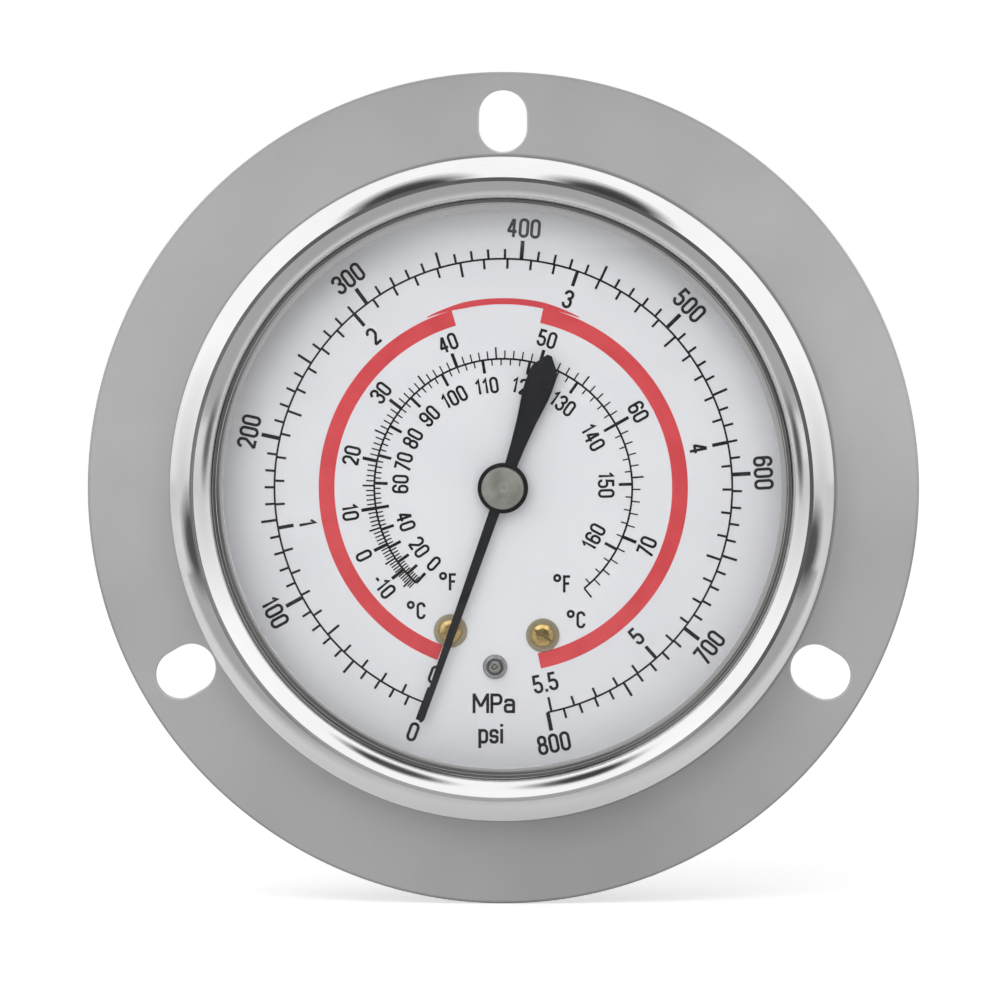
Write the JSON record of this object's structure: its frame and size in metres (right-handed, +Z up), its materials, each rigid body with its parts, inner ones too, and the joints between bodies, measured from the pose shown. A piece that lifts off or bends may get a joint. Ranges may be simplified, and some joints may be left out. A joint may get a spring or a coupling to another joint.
{
  "type": "refrigerant pressure gauge",
  "caption": "Round panel pressure gauge with a front flange, a spring tube movement behind a white dial, a black pointer and a back flare connection.",
  "frame": {"origin": "middle of the mounting flange's back face, on the panel", "axes": "-Y out of the dial towards the reader, +Y behind the panel towards the connection, +X to the reader's right, +Z up"},
  "size_m": [0.085, 0.0555, 0.085],
  "materials": {
    "flange_steel": "satin stainless steel",
    "bezel_polish": "polished stainless steel",
    "window_glass": "clear instrument glass",
    "gasket_rubber": "matt black rubber",
    "case_steel": "drawn stainless steel",
    "plug_rubber": "moulded black rubber",
    "screw_steel": "plated steel",
    "seal_fibre": "red fibre",
    "socket_brass": "turned brass",
    "dial_white": "white enamelled aluminium",
    "dial_black": "black printing ink on the dial",
    "dial_red": "red printing ink on the dial",
    "fixing_brass": "small turned brass",
    "pin_steel": "bright steel",
    "movement_brass": "stamped brass",
    "tube_bronze": "drawn phosphor bronze",
    "spring_bronze": "spring bronze strip",
    "pointer_black": "matt black",
    "hub_grey": "dull grey turned boss"
  },
  "bodies": {
    "housing": {"mounting_flange": "flange_steel", "bezel_ring": "bezel_polish", "window": "window_glass", "window_gasket": "gasket_rubber", "case_cup": "case_steel", "vent_plug": "plug_rubber", "case_screws": "screw_steel", "socket_seal": "seal_fibre", "socket": "socket_brass", "restrictor_screw": "socket_brass", "dial": "dial_white", "dial_screws": "fixing_brass", "dial_washers": "fixing_brass", "dial_posts": "movement_brass", "stop_pin": "pin_steel", "movement_back_plate": "movement_brass", "movement_front_plate": "movement_brass", "movement_pillars": "movement_brass", "plate_screws": "screw_steel", "movement_screws": "screw_steel", "bourdon_tube": "tube_bronze", "hairspring_stud": "movement_brass", "hairspring": "spring_bronze"},
    "tip": {"tube_tip": "movement_brass", "tip_link_pin": "pin_steel"},
    "connecting_link": {"link": "movement_brass"},
    "sector": {"sector_gear": "movement_brass", "sector_arbor": "pin_steel", "sector_link_pin": "pin_steel"},
    "needle": {"pointer": "pointer_black", "pointer_hub": "hub_grey", "pinion_shaft": "pin_steel", "hairspring_collet": "movement_brass"}
  },
  "joints": [
    {"name": "pointer_turn", "type": "hinge", "parent": "housing", "child": "needle", "pos_m": [0, 0, 0], "axis": [0, 1, 0], "range_deg": [0, 328.5], "stiffness_Nm_per_rad": 0.0002, "springref_deg": -28.65, "deforming": ["hairspring"]},
    {"name": "sector_turn", "type": "hinge", "parent": "housing", "child": "sector", "pos_m": [0.013, 0, 0], "axis": [0, 1, 0], "range_deg": [-27.38, 0]},
    {"name": "tip_swing", "type": "hinge", "parent": "housing", "child": "tip", "pos_m": [-0.00967, 0, 0.00391], "axis": [0, 1, 0], "range_deg": [-4.94, 0], "deforming": ["bourdon_tube"]},
    {"name": "link_swing", "type": "hinge", "parent": "tip", "child": "connecting_link", "pos_m": [0.0178, 0, 0.01293], "axis": [0, 1, 0], "range_deg": [0, 1.04]}
  ],
  "couplings": [
    {"joint": "sector_turn", "follows": "pointer_turn", "ratio": -0.083333},
    {"joint": "tip_swing", "follows": "pointer_turn", "ratio": -0.015025},
    {"joint": "link_swing", "follows": "pointer_turn", "ratio": 0.0031687}
  ]
}
